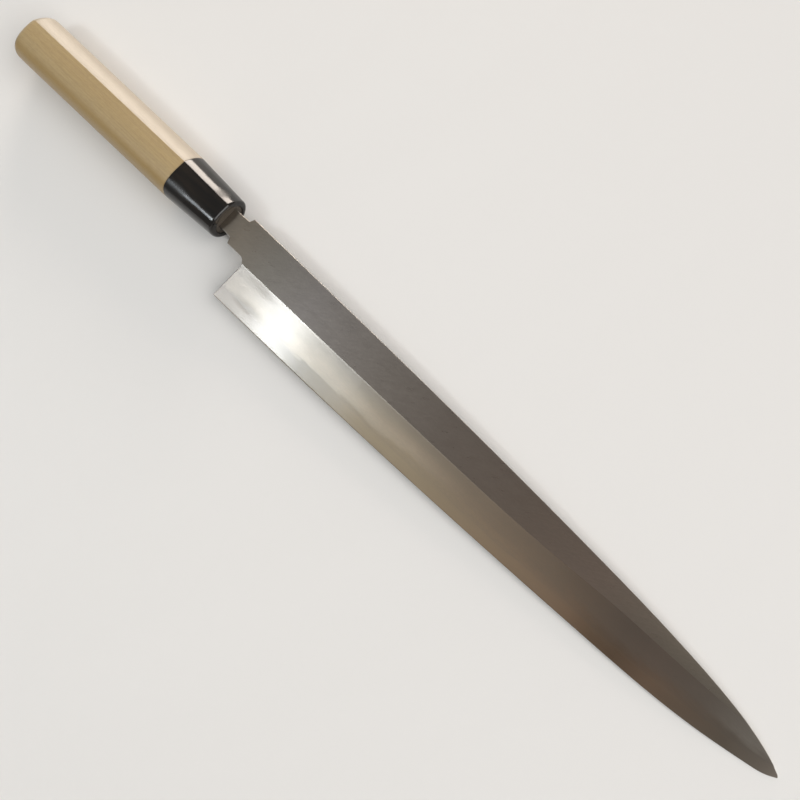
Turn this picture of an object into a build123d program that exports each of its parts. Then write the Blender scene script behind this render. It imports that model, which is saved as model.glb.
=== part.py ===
from build123d import *
import math
import os

# Yanagiba: a long single-bevel slicing knife, lying on its hollow back.
# It is drawn with the tang's middle line on the X axis and the shoulder of the
# blade at zero. +X runs to the tip, +Y to the spine, +Z out of the bevel side.
# At the end all pieces are moved together, so that the origin is the middle of
# the knife's box, on the surface that it lies on.

# Blade, seen from the side
blade_length = 300.0      # shoulder to tip
heel_height = 34.3        # spine to cutting edge at the heel
spine_rise = 7.3          # spine above the tang's middle line, at the shoulder
tip_drop_share = 0.503    # how far the tip lies below the spine's rear end
tip_round = 1.5           # length of the small round that ends the spine

# Points of the spine: share of the blade's length, share of the heel's height below its rear end
spine_drop_shares = [(0.333, 0.036), (0.667, 0.117), (0.867, 0.225), (0.960, 0.357)]
tip_round_drop_share = 0.452
# Points of the cutting edge: share of the blade's length, share of the heel's height above the heel
edge_rise_shares = [(0.2, 0.010), (0.467, 0.066), (0.733, 0.166), (0.9, 0.290), (0.967, 0.394), (0.992, 0.458)]

# Heel and neck
neck_height = 15.0        # spine to the underside of the neck
neck_length = 10.6        # shoulder to the face of the heel
heel_lean = 2.5           # how far the heel's corner reaches back under the neck
choil_round = 3.6         # round between the neck and the heel

# Shoulder notches and tang
top_notch = 2.1           # step from the tang's top up to the spine
low_notch = 2.7           # step from the tang's underside down to the neck
notch_slant = 1.0         # the step faces lean by this much
low_notch_setback = 1.8   # the lower notch starts this far behind the upper one
notch_round = 0.6
tang_length = 112.0       # shoulder to the tang's end, inside the handle
tang_end_width = 5.0
tang_end_round = 1.5

# Blade, seen along the spine
spine_thickness = 4.0
tang_end_thickness = 2.6
# Thickness of the flat: share of the blade's length, share of the spine's thickness
taper_shares = [(0.2, 0.975), (0.467, 0.912), (0.733, 0.75), (0.9, 0.562), (1.0, 0.4)]
edge_land = 0.12          # thickness left at the cutting edge
# Bevel angle: share of the blade's length, degrees
bevel_angle_shares = [(-0.05, 12.6), (0.2, 12.4), (0.467, 12.6), (0.6, 12.1), (0.733, 10.3),
                      (0.8, 9.75), (0.9, 9.2), (1.02, 9.0)]
spine_chamfer = 0.35      # polished corners of the spine

# Hard steel plate on the back
steel_thickness = 1.2     # at the heel
steel_start = 4.0         # shoulder to the rear end of the plate
# Its taper: share of the blade's length, share of its thickness at the heel
steel_taper_shares = [(0.667, 0.875), (1.02, 0.583)]

# Hollow in the back
wheel_radius = 205.0      # the stone that ground it
edge_rim = 1.4            # flat land left along the cutting edge
spine_rim = 2.2           # flat land left along the spine
# Its plan: share of the blade's length, share of the full width there
hollow_shares = [(0.052, 0.2), (0.085, 0.62), (0.16, 0.92), (0.267, 1.0), (0.467, 1.0),
                 (0.733, 1.0), (0.9, 0.9), (0.952, 0.62), (0.972, 0.25)]

# Handle
handle_length = 141.2     # butt to the front of the ferrule
ferrule_length = 29.6
ferrule_gap = 9.7         # bare tang between the ferrule and the shoulder
butt_height = 23.6
butt_width = 19.8
joint_height = 22.5       # where wood and horn meet
joint_width = 19.7
front_height = 19.3
front_width = 16.7
dome_length = 6.2         # rounded part of the butt
dome_power = 2.1          # power of the curve that rounds the butt
dome_steps_deg = [6, 20, 38, 56, 74, 90]
ferrule_round = 1.3       # round at the ferrule's front
ferrule_steps_deg = [0, 30, 60, 90]

# The D section: share of the height (up), share of the width (out of the bevel side).
# It starts at the ridge and runs over the top, down the back and round to the ridge.
ridge_shares = (0.205, 0.475)
facet_middle_shares = (0.331, 0.352)      # the facet is rubbed slightly round
facet_end_shares = (0.43, 0.20)
round_shares = [(0.495, 0.0), (0.43, -0.26), (0.20, -0.46), (-0.05, -0.50), (-0.30, -0.43),
                (-0.45, -0.24), (-0.50, 0.02), (-0.47, 0.24), (-0.37, 0.416), (-0.22, 0.485), (0.0, 0.50)]

# Tenon of the handle, and the slot for the tang
tenon_height = 14.2
tenon_width = 12.2
tenon_recess = 0.3        # the wood ends this far behind the horn
tenon_clearance = 0.05
tang_clearance = 0.1
slot_spare = 4.0          # the slot is this much longer than the tang

overrun = 10.0            # cutting tools reach this far past what they cut

back_z = -spine_thickness / 2
spine_y = spine_rise
heel_y = spine_rise - heel_height
neck_y = spine_rise - neck_height
front_x = -ferrule_gap
joint_x = front_x - ferrule_length
butt_x = front_x - handle_length
tip = (blade_length, spine_y - tip_drop_share * heel_height)
search_steps = 40


def cross_plane(x):
    """Plane across the knife: its first axis is +Y, its second +Z."""
    return Plane(origin=(x, 0, 0), x_dir=(0, 1, 0), z_dir=(1, 0, 0))


def height_at(curve, x):
    """The Y of a curve that runs towards +X, at this X."""
    low, high = 0.0, 1.0
    for _ in range(search_steps):
        middle = (low + high) / 2
        if (curve @ middle).X < x:
            low = middle
        else:
            high = middle
    return (curve @ low).Y


def spine_curve():
    points = [(share * blade_length, spine_y - drop * heel_height) for share, drop in spine_drop_shares]
    last = (blade_length - tip_round, spine_y - tip_round_drop_share * heel_height)
    return Spline((0, spine_y), *points, last)


def edge_curve():
    points = [(share * blade_length, heel_y + rise * heel_height) for share, rise in edge_rise_shares]
    return Spline((neck_length - heel_lean, heel_y), *points, tip)


def shoulder_outline():
    """From the heel's corner along the neck, round the tang and up to the spine."""
    tang_top = spine_y - top_notch
    tang_low = neck_y + low_notch
    corners = [
        (neck_length - heel_lean, heel_y),
        (neck_length, neck_y),
        (-low_notch_setback, neck_y),
        (-low_notch_setback - notch_slant, tang_low),
        (-tang_length, -tang_end_width / 2),
        (-tang_length, tang_end_width / 2),
        (-notch_slant, tang_top),
        (0, spine_y),
    ]
    rounds = [choil_round, notch_round, notch_round, tang_end_round, tang_end_round, notch_round]
    return FilletPolyline(*corners, radius=rounds)


def blade_outline():
    spine = spine_curve()
    end = TangentArc(spine @ 1, tip, tangent=spine % 1)
    return make_face(Curve() + [shoulder_outline(), spine, end, edge_curve()])


def thickness_profile():
    """The blade and tang seen along the edge: flat back, tapering front."""
    flat = [(share * blade_length, back_z + part * spine_thickness) for share, part in taper_shares]
    flat_line = Spline((0, -back_z), *flat)
    rest = Polyline(
        flat_line @ 1,
        (blade_length, back_z),
        (0, back_z),
        (-tang_length, -tang_end_thickness / 2),
        (-tang_length, tang_end_thickness / 2),
        (0, -back_z),
    )
    return make_face(Curve() + [flat_line, rest])


def across(profile):
    """A side profile as a bar that runs right across the blade."""
    bar = extrude(Plane.XZ * profile, 2 * (heel_height + overrun))
    return Pos(0, heel_height + overrun, 0) * bar


def bevel_tool():
    """All that is ground away above the bevel."""
    edge = edge_curve()
    sections = []
    for share, angle in bevel_angle_shares:
        x = share * blade_length
        edge_y = height_at(edge, x)
        slope = math.tan(math.radians(angle))
        low = (edge_y - overrun, back_z + edge_land - overrun * slope)
        high = (edge_y + heel_height + overrun, back_z + edge_land + (heel_height + overrun) * slope)
        triangle = Polyline(low, high, (low[0], high[1]), close=True)
        sections.append(cross_plane(x) * make_face(triangle))
    return loft(sections)


def hollow_tool():
    """The shallow hollow of the back, as the wheel leaves it."""
    spine, edge = spine_curve(), edge_curve()
    floor_z = back_z - overrun
    sections = []
    for share, part in hollow_shares:
        x = share * blade_length
        top = height_at(spine, x) - spine_rim
        low = height_at(edge, x) + edge_rim
        middle, half = (top + low) / 2, part * (top - low) / 2
        depth = wheel_radius - math.sqrt(wheel_radius**2 - half**2)
        arc = ThreePointArc((middle - half, back_z), (middle, back_z + depth), (middle + half, back_z))
        floor = Polyline(arc @ 1, (middle + half, floor_z), (middle - half, floor_z), arc @ 0)
        sections.append(cross_plane(x) * make_face(Curve() + [arc, floor]))
    return loft(sections)


def steel_slab():
    """The space of the hard steel plate, before the bevel is ground."""
    upper = [(share * blade_length, back_z + part * steel_thickness) for share, part in steel_taper_shares]
    upper_line = Spline((steel_start, back_z + steel_thickness), *upper)
    floor_z = back_z - overrun
    rest = Polyline(upper_line @ 1, (upper[-1][0], floor_z), (steel_start, floor_z), upper_line @ 0)
    return across(make_face(Curve() + [upper_line, rest]))


def spine_corners(plate):
    """The two long corners of the spine."""
    return [edge for edge in plate.edges() if edge.length > blade_length / 2 and edge.center().Y > neck_y]


def ground_blade():
    plate = extrude(Pos(0, 0, back_z) * blade_outline(), spine_thickness) & across(thickness_profile())
    plate = chamfer(spine_corners(plate), spine_chamfer)
    return plate - bevel_tool() - hollow_tool()


def d_section(x, height, width, share=1.0):
    """The handle's section at this X, scaled about its middle by the share."""
    def place(point):
        return (point[0] * height * share, point[1] * width * share)
    facet = ThreePointArc(place(ridge_shares), place(facet_middle_shares), place(facet_end_shares))
    back = Spline(facet @ 1, *[place(point) for point in round_shares], facet @ 0)
    return cross_plane(x) * make_face(Curve() + [facet, back])


def handle_body():
    dome = []
    for step in dome_steps_deg:
        angle = math.radians(step)
        reach = dome_length * (1 - math.cos(angle) ** (2 / dome_power))
        dome.append(d_section(butt_x + reach, butt_height, butt_width, math.sin(angle) ** (2 / dome_power)))
    shoulder = d_section(butt_x + dome_length, butt_height, butt_width)
    joint = d_section(joint_x, joint_height, joint_width)
    return loft(dome) + loft([shoulder, joint], ruled=True)


def tenon(clearance, start, end):
    oval = cross_plane(start) * Ellipse(tenon_height / 2 + clearance, tenon_width / 2 + clearance)
    return extrude(oval, end - start)


def tang_slot():
    """The tang's own shape, a little larger all round and longer at its end."""
    room = 2 * tang_clearance
    tang_top = spine_y - top_notch
    tang_low = neck_y + low_notch
    end = Rectangle(tang_end_width + room, tang_end_thickness + room)
    rear = cross_plane(-tang_length - slot_spare) * end
    mouth = Rectangle(tang_top - tang_low + room, spine_thickness + room)
    front = cross_plane(0) * Pos((tang_top + tang_low) / 2, 0) * mouth
    return loft([rear, front], ruled=True)


def wooden_handle():
    return handle_body() + tenon(0, joint_x, front_x - tenon_recess) - tang_slot()


def ferrule():
    height_taper = (joint_height - front_height) / ferrule_length
    width_taper = (joint_width - front_width) / ferrule_length
    rounded = []
    for step in ferrule_steps_deg:
        angle = math.radians(step)
        back = ferrule_round * (1 - math.sin(angle))
        inset = 2 * ferrule_round * (1 - math.cos(angle))
        height = front_height + height_taper * back - inset
        width = front_width + width_taper * back - inset
        rounded.append(d_section(front_x - back, height, width))
    shell = loft([d_section(joint_x, joint_height, joint_width), rounded[0]], ruled=True) + loft(rounded)
    return shell - tenon(tenon_clearance, joint_x - overrun, front_x + overrun)


blade = ground_blade()
slab = steel_slab()
nodes = {
    "handle_wood": wooden_handle(),
    "horn_ferrule": ferrule(),
    "blade_cladding": blade - slab,
    "edge_steel": blade & slab,
}

box = Compound(list(nodes.values())).bounding_box()
to_origin = Pos(-box.center().X, -box.center().Y, -box.min.Z)

os.makedirs("parts", exist_ok=True)
for name, solid in nodes.items():
    export_step(to_origin * solid, f"parts/{name}.step")

print("size", [round(value, 2) for value in box.size])
print("the shoulder lies at", [round(value, 3) for value in to_origin.position])
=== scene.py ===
# Yanagiba: a long single-bevel slicing knife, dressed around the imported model
import math
import bmesh
import bpy
import numpy as np
from mathutils import Matrix, Vector


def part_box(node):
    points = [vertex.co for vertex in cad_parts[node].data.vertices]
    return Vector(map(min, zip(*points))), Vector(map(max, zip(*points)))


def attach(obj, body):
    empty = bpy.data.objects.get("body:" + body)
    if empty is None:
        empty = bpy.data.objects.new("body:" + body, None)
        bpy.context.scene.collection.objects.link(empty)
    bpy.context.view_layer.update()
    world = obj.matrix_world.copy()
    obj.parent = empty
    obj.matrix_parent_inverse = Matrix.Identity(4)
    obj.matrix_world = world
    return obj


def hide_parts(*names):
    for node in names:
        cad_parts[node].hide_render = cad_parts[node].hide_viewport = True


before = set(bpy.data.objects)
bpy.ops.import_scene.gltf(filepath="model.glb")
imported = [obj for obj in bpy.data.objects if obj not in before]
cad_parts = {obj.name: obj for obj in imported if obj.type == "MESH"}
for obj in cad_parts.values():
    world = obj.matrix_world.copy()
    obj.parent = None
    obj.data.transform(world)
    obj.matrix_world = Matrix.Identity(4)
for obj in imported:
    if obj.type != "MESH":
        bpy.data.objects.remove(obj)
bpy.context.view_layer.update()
print("frame:", ", ".join(sorted(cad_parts)))

mm = 0.001
mergeGap = 0.000002  # m: points nearer than this become one
collection = bpy.context.scene.collection

# Sizes below are in mm in the smith's own frame: the shoulder at x = 0, the tang's
# middle line at y = 0, the middle of the spine's thickness at z = 0.
blade = {
    "length": 300.0,  # shoulder to tip
    "tip": (300.0, -9.95),
    "heel": (8.1, -27.0),  # the corner of the cutting edge
    "spineRise": 7.3,
    "spineEnd": 299.2,  # from here a small round runs down to the tip
    "spine": [(0, 7.3), (99.9, 6.07), (200.1, 3.29), (260.1, -0.42), (288, -4.95), (296, -7.55),
              (299.2, -9.0)],
    "edge": [(8.1, -27.0), (60, -26.66), (140.1, -24.74), (219.9, -21.31), (270, -17.05), (290.1, -13.49),
             (297.6, -11.29), (300, -9.95)],
    "neckY": -7.7,
    "neckFront": 10.6,
    "choilRound": 3.6,
    "tangLength": 112.0,
    "tangEndHalf": 2.5,
    "tangEndRound": 1.5,
    "topNotch": [(-1.0, 5.2), (0, 7.3)],
    "lowNotch": [(-2.8, -5.0), (-1.8, -7.7)],
    "notchRound": 0.6,
    "shoulderRound": 0.3,
    "thickness": 4.0,
    "tangEndThickness": 2.6,
    "taper": [(0, 4.0), (60, 3.9), (140.1, 3.648), (219.9, 3.0), (270, 2.248), (300, 1.6)],
    "bevelDeg": [(-15, 12.6), (60, 12.4), (140.1, 12.6), (180, 12.1), (219.9, 10.3), (240, 9.75),
                 (270, 9.2), (306, 9.0)],
    "bevelLand": 0.12,  # height of the bevel's plane above the edge
    "edgeLeft": 0.03,  # what the last strokes on the stone leave of it
    "edgeStrokes": 0.35,  # width of those strokes
    "cornerRound": 0.26,  # polished corners of spine, neck and shoulders
    "noseRound": 0.3,  # the bare steel at the point
    "sideRound": 0.25,  # the plate's own corners
    "steelStart": 4.0,
    "steel": [(4, 1.2), (200.1, 1.05), (306, 0.7)],
    "seamWaves": [(0.055, 61, 0.4), (0.04, 23, 2.0), (0.018, 8.5, 1.1)],  # height, length, phase
    "wheelRadius": 205.0,  # the stone that hollowed the back
    "spineLand": 2.2,
    "edgeLandBack": 1.4,
    "hollow": [(12.5, 0), (15.6, 0.26), (25.5, 0.62), (48, 0.92), (80, 1), (140, 1), (220, 1), (270, 0.9),
               (285.6, 0.62), (291.6, 0.28), (293.5, 0)],
    "fanStart": 4.5,  # columns are upright up to here
    "fanTop": 24.0,  # and reach the spine here at the heel's corner
    "fanEnd": 60.0,  # length over which they come upright again
}

# How finely the blade's meshes are cut
cuts = {
    "neckRear": -6,
    "tangColumns": 46,
    "neckColumns": 36,
    "edgeColumns": 230,
    "tipColumns": 34,
    "tipLength": 15,  # before the tip, where the columns crowd together
    "noseSteps": 12,
    "choilStep": 0.6,
    "cornerSteps": 5,
    "flat": 8,
    "bevel": 10,
    "underIron": 5,
    "noseRows": 4,
    "band": 8,
    "land": 3,
    "hollow": (0.09, 0.28, 0.48, 0.66, 0.82, 0.93, 0.985, 1),  # from its middle outwards
}

handle = {
    "front": -9.7,  # front of the horn
    "joint": -39.3,  # where wood and horn meet
    "butt": -150.85,
    "buttSize": (23.6, 19.8),
    "jointSize": (22.5, 19.7),
    "frontSize": (19.3, 16.7),
    "domeLength": 6.2,
    "domePower": 2.1,
    "wornLength": 12.0,  # the ridge fades out over this length
    "tenon": (14.2, 12.2),
    "tenonRecess": 0.3,
    "tenonGap": 0.05,
    "tenonRound": 0.15,
    "hornRound": 1.3,
    "jointSoft": 0.1,  # the rub of sandpaper along the joint
    "slotFront": (10.4, 4.2),  # at the shoulder, where the tang is widest
    "slotRear": (5.2, 2.8),
    "slotEnd": -116.0,
    "slotMiddle": 0.1,
}

# The D section: share of the height, share of the width. It starts at the ridge,
# crosses the flat facet and comes back round underneath.
dSection = {
    "ridge": (0.205, 0.475),
    "facetEnd": (0.43, 0.20),
    "back": [(0.495, 0.0), (0.43, -0.26), (0.20, -0.46), (-0.05, -0.50), (-0.30, -0.43), (-0.45, -0.24),
             (-0.50, 0.02), (-0.47, 0.24), (-0.37, 0.416), (-0.22, 0.485), (0.0, 0.50)],
    "ridgeRound": 0.6,
    "facetRound": 5.0,
    "facetSwell": 0.42,  # the facet is rubbed slightly round
    "facetSteps": 8,
    "wornReach": 1.5,  # how far the ridge is rubbed round at the butt
    "wornSamples": 400,
    "perSpan": 8,
}

steelBox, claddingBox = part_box("edge_steel"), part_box("blade_cladding")
shoulder = Vector((
    steelBox[1].x - blade["length"] * mm,
    claddingBox[1].y - blade["spineRise"] * mm,
    steelBox[0].z + blade["thickness"] / 2 * mm,
))
print("shoulder at", [round(value, 5) for value in shoulder])


# a smooth curve through the points, as a function of x
def smoothLine(points):
    px, py = np.array(points, float).T
    count, gap = len(px), np.diff(px)
    system, right = np.zeros((count, count)), np.zeros(count)
    system[0, 0] = system[-1, -1] = 1
    for i in range(1, count - 1):
        system[i, i - 1:i + 2] = gap[i - 1], 2 * (gap[i - 1] + gap[i]), gap[i]
        right[i] = 6 * ((py[i + 1] - py[i]) / gap[i] - (py[i] - py[i - 1]) / gap[i - 1])
    bend = np.linalg.solve(system, right)

    def at(x):
        x = np.clip(x, px[0], px[-1])
        i = np.clip(np.searchsorted(px, x) - 1, 0, count - 2)
        a, b = (px[i + 1] - x) / gap[i], (x - px[i]) / gap[i]
        sag = ((a ** 3 - a) * bend[i] + (b ** 3 - b) * bend[i + 1]) * gap[i] ** 2 / 6
        return a * py[i] + b * py[i + 1] + sag
    return at


# a polyline whose inner corners are rounded to these radii
def roundedPath(corners, radii, stepDeg=6):
    corners = [np.array(corner, float) for corner in corners]
    path = [corners[0]]
    for before, corner, after, radius in zip(corners, corners[1:], corners[2:], radii):
        toBefore = (before - corner) / np.linalg.norm(before - corner)
        toAfter = (after - corner) / np.linalg.norm(after - corner)
        half = math.acos(np.clip(toBefore @ toAfter, -1, 1)) / 2
        turn = math.pi - 2 * half
        if radius == 0 or turn < 0.02:
            path.append(corner)
            continue
        middle = (toBefore + toAfter) / np.linalg.norm(toBefore + toAfter)
        centre = corner + middle * radius / math.sin(half)
        first = corner + toBefore * radius / math.tan(half) - centre
        last = corner + toAfter * radius / math.tan(half) - centre
        steps = max(2, math.ceil(math.degrees(turn) / stepDeg))
        for t in np.linspace(0, 1, steps + 1):
            part = first * math.sin((1 - t) * turn) + last * math.sin(t * turn)
            path.append(centre + part / math.sin(turn))
    path.append(corners[-1])
    return np.array(path)


# an arc that leaves start in this direction and ends at end
def tangentArc(start, direction, end, steps):
    chord = end - start
    heading = math.atan2(direction[1], direction[0])
    turn = 2 * (math.atan2(chord[1], chord[0]) - heading)
    arc = []
    for k in range(1, steps + 1):
        angle = turn * k / steps
        reach = np.linalg.norm(chord) * math.sin(angle / 2) / math.sin(turn / 2)
        arc.append(start + reach * np.array([math.cos(heading + angle / 2), math.sin(heading + angle / 2)]))
    return np.array(arc)


def alongPath(path):
    return np.concatenate([[0], np.cumsum(np.linalg.norm(np.diff(path, axis=0), axis=1))])


# edges that don't lie between just two faces
def oddEdges(build):
    return sum(len(edge.link_faces) != 2 for edge in build.edges)


# a mesh from rows of points in mm; the 4th and 5th numbers of a point are marks
def meshFromRows(name, rows):
    build = bmesh.new()
    layers = [build.verts.layers.float.new(title) for title in ("rim", "hollow")]
    rings = []
    for column in np.array(rows).transpose(1, 0, 2):
        ring = [build.verts.new(shoulder + Vector(point[:3]) * mm) for point in column]
        for vert, point in zip(ring, column):
            for layer, value in zip(layers, point[3:]):
                vert[layer] = value
        rings.append(ring)
    for here, there in zip(rings, rings[1:]):
        for k in range(len(here)):
            after = (k + 1) % len(here)
            build.faces.new((here[k], here[after], there[after], there[k]))
    build.faces.new(rings[0])
    build.faces.new(rings[-1][::-1])
    bmesh.ops.remove_doubles(build, verts=build.verts, dist=mergeGap)
    bmesh.ops.dissolve_degenerate(build, edges=build.edges, dist=1e-7)
    bmesh.ops.recalc_face_normals(build, faces=build.faces)
    mesh = bpy.data.meshes.new(name)
    build.to_mesh(mesh)
    print(name, "faces", len(mesh.polygons), "odd edges", oddEdges(build))
    build.free()
    return mesh


# The blade's surfaces, as heights over the plan
spineLine, edgeLine, bevelAngle, steelHeight, bladeTaper, hollowShare = (
    smoothLine(blade[title]) for title in ("spine", "edge", "bevelDeg", "steel", "taper", "hollow"))


backZ = -blade["thickness"] / 2


def tangHalf(x):
    thinner = blade["thickness"] - blade["tangEndThickness"]
    return (blade["thickness"] + thinner * x / blade["tangLength"]) / 2


def backAt(x, y=None):
    return np.where(x < 0, -tangHalf(np.minimum(x, 0)), backZ)


def flatAt(x, y=None):
    return np.where(x < 0, tangHalf(np.minimum(x, 0)), backZ + bladeTaper(x))


def bevelAt(x, y):
    rise = np.tan(np.radians(bevelAngle(x)))
    return backZ + blade["bevelLand"] + (y - edgeLine(x)) * rise


def seamAt(x, y=None):
    wave = sum(high * np.sin(2 * math.pi * x / long + phase) for high, long, phase in blade["seamWaves"])
    return backZ + steelHeight(x) + wave


def faceAt(x, y):
    return np.minimum(flatAt(x), bevelAt(x, y))


def steelFaceAt(x, y):
    return np.minimum(seamAt(x), bevelAt(x, y))


def overSeam(x, y):
    return bevelAt(x, y) - seamAt(x)


def partWay(start, end, share):
    return start + (end - start) * np.reshape(share, (-1, 1))


def shifted(line, normal, width):
    return line + normal * width[:, None]


# share of the way from start to end where a height changes from above to below another
def crossing(start, end, difference):
    low, high = np.zeros(len(start)), np.ones(len(start))
    for _ in range(36):
        middle = (low + high) / 2
        above = difference(*partWay(start, end, middle).T) > 0
        low, high = np.where(above, middle, low), np.where(above, high, middle)
    return (low + high) / 2


# Columns across the blade: where each starts on the upper outline and ends on the lower
def bladeColumns():
    b = blade
    tang, half, spineEnd = -b["tangLength"], b["tangEndHalf"], b["spineEnd"]
    topStart = roundedPath([(tang, 0), (tang, half), *b["topNotch"], (4, spineLine(4))],
                           [b["tangEndRound"], b["notchRound"], b["shoulderRound"]])[1:]
    topX = np.arange(5, spineEnd, 1.0)
    topEnd = np.array([spineEnd, spineLine(spineEnd)])
    fall = topEnd - np.array([spineEnd - 0.5, spineLine(spineEnd - 0.5)])
    top = np.vstack([topStart, np.column_stack([topX, spineLine(topX)]), topEnd,
                     tangentArc(topEnd, fall, np.array(b["tip"]), cuts["noseSteps"])])
    low = roundedPath([(tang, 0), (tang, -half), *b["lowNotch"], (b["neckFront"], b["neckY"]), b["heel"]],
                      [b["tangEndRound"], b["notchRound"], b["notchRound"], b["choilRound"]], 4)[1:]
    neck = low[:np.argmax(low[:, 0]) + 1]
    onPath = lambda x, path: np.column_stack([x, np.interp(x, path[:, 0], path[:, 1])])

    start = b["fanStart"]
    upright = np.concatenate([np.linspace(tang, cuts["neckRear"], cuts["tangColumns"]),
                              np.linspace(cuts["neckRear"], start, cuts["neckColumns"]), top[:, 0], low[:, 0],
                              [b["steelStart"]]])
    upright = np.unique(np.round(upright, 3))
    upright = upright[(upright >= tang) & (upright <= start)]
    behind, ahead = upright[upright <= b["steelStart"]], upright[upright >= b["steelStart"]]
    xs = np.concatenate([behind, ahead])  # steelStart twice: the plate's rear end is a step
    tops, lows = [onPath(xs, top)], [onPath(xs, neck)]

    choil = np.vstack([[start, b["neckY"]], low[len(neck) - np.sum(neck[:, 0] > start):]])
    fan = []
    for here, there in zip(choil, choil[1:]):
        steps = max(1, math.ceil(np.linalg.norm(there - here) / cuts["choilStep"]))
        fan.append(partWay(here, there, np.linspace(0, 1, steps + 1)[1:]))
    fan = np.vstack(fan)
    share = alongPath(np.vstack([choil[:1], fan]))[1:]
    lows.append(fan)
    tops.append(onPath(start + (b["fanTop"] - start) * share / share[-1], top))

    rear, last = b["heel"][0], b["length"] - cuts["tipLength"]
    q = np.linspace(0, 1, cuts["tipColumns"])[1:]
    edgeX = np.concatenate([np.linspace(rear, last, cuts["edgeColumns"])[1:],
                            last + cuts["tipLength"] * (1 - (1 - q) ** 2)])
    near = np.clip((edgeX - rear) / b["fanEnd"], 0, 1)
    lean = (b["fanTop"] - rear) * (1 - near * near * (3 - 2 * near))
    lows.append(np.column_stack([edgeX, edgeLine(edgeX)]))
    tops.append(onPath(edgeX + lean, top))
    tops, lows = np.vstack(tops), np.vstack(lows)
    order = np.arange(len(tops))
    return tops, lows, order >= len(behind), order >= len(tops) - len(edgeX)


def inward(path, side):
    run = np.gradient(path, axis=0)
    run /= np.linalg.norm(run, axis=1)[:, None] + 1e-12
    return side * np.column_stack([-run[:, 1], run[:, 0]])


# one row of points with its heights and marks: how polished, and how far in the hollow
def rowOf(point, z, polish=0.0, inHollow=0.0):
    marks = np.zeros(len(point))
    return np.column_stack([point, z, marks + polish, marks + inHollow])


# rows that round a corner, from the wall inwards
def cornerRows(outline, normal, width, depth, height, side, inside=False):
    rows = []
    for k in range(cuts["cornerSteps"] + 1):
        share = k / cuts["cornerSteps"]
        angle = math.radians(90 * share)
        point = shifted(outline, normal, width * (1 - math.cos(angle)))
        z = height(*point.T) - side * depth * (1 - math.sin(angle))
        rows.append(rowOf(point, z, np.where(depth > 0.05, 1 - share, 0)))
    return rows[::-1] if inside else rows


# rows strictly between two lines of points
def betweenRows(start, end, count, height):
    points = [partWay(start, end, k / count) for k in range(1, count)]
    return [rowOf(point, height(*point.T)) for point in points]


tops, lows, steelUnder, onEdge = bladeColumns()
topIn, lowIn = inward(tops, -1), inward(lows, 1)
span = np.linalg.norm(tops - lows, axis=1)
spanShare = 0.2  # no rounding takes more of the blade's height than this


def limited(value, *limits):
    for limit in limits:
        value = np.minimum(value, limit)
    return np.maximum(value, 0)


def claddingMesh():
    floor = lambda x, y: np.where(steelUnder, seamAt(x), backAt(x))
    rounding = lambda line: limited(blade["cornerRound"], 0.45 * (faceAt(*line.T) - floor(*line.T)),
                                    spanShare * span)
    topRound, lowRound = rounding(tops), np.where(onEdge, 0, rounding(lows))
    topInner, lowInner = shifted(tops, topIn, topRound), shifted(lows, lowIn, lowRound)
    seam = np.where(steelUnder, crossing(topInner, lowInner, overSeam), 1)
    meets = seam < 1 - 1e-6
    end = partWay(topInner, lowInner, seam)
    lowRound = np.where(meets, 0, lowRound)
    outer = np.where(meets[:, None], end, lows)
    ridge = crossing(topInner, end, lambda x, y: bevelAt(x, y) - flatAt(x))
    ridgeLine = partWay(topInner, end, ridge)
    rows = cornerRows(tops, topIn, topRound, topRound, faceAt, 1)
    rows += betweenRows(topInner, ridgeLine, cuts["flat"], faceAt)
    rows.append(rowOf(ridgeLine, faceAt(*ridgeLine.T)))
    rows += betweenRows(ridgeLine, end, cuts["bevel"], faceAt)
    rows += cornerRows(outer, lowIn, lowRound, lowRound, faceAt, 1, inside=True)
    rows += cornerRows(outer, lowIn, lowRound, np.where(steelUnder, 0, lowRound), floor, -1)
    rows += betweenRows(end, topInner, cuts["underIron"], floor)
    rows += cornerRows(tops, topIn, topRound, np.where(steelUnder, 0, topRound), floor, -1, inside=True)
    whole = np.array(rows)
    stop = np.argmax((seam < 0.01) & onEdge) or len(tops)  # near the tip the steel takes over
    closing = whole[:, stop - 1:stop].copy()
    closing[:, 0, :3] = [*tops[stop], seamAt(tops[stop][0])]
    return meshFromRows("bladeCladding", np.concatenate([whole[:, :stop], closing], axis=1))


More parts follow.
